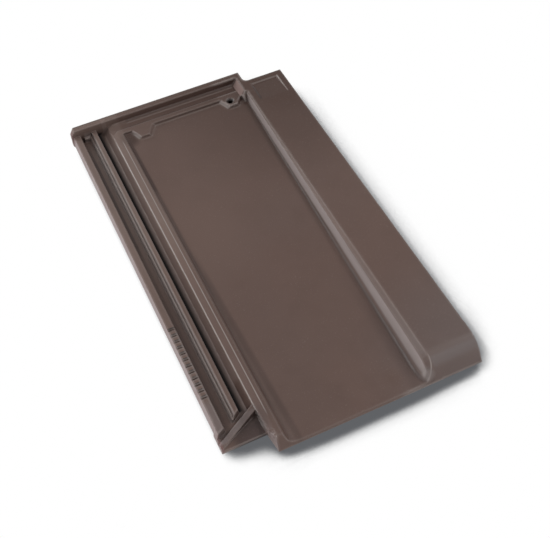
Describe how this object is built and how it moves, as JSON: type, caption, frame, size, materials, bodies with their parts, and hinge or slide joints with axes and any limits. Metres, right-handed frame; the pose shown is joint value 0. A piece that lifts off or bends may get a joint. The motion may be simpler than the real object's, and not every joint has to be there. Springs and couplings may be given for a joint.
{
  "type": "clay roof tile",
  "caption": "Flat interlocking clay roof tile with a side interlock of grooves and ribs, a raised cover strip, a head channel and hanging nibs.",
  "frame": {"origin": "on the floor below the middle of the tile's box, with the tile lying face up on its foot rib and two nibs", "axes": "+X across the tile from the side interlock to the cover, +Y up the roof slope from the foot to the head, +Z out of the weathered face"},
  "size_m": [0.2626, 0.47, 0.033],
  "materials": {
    "brown_clay": "semi-matt brown engobe on fired clay, fine grain"
  },
  "bodies": {
    "root": {"roof_tile": "brown_clay"}
  },
  "joints": []
}
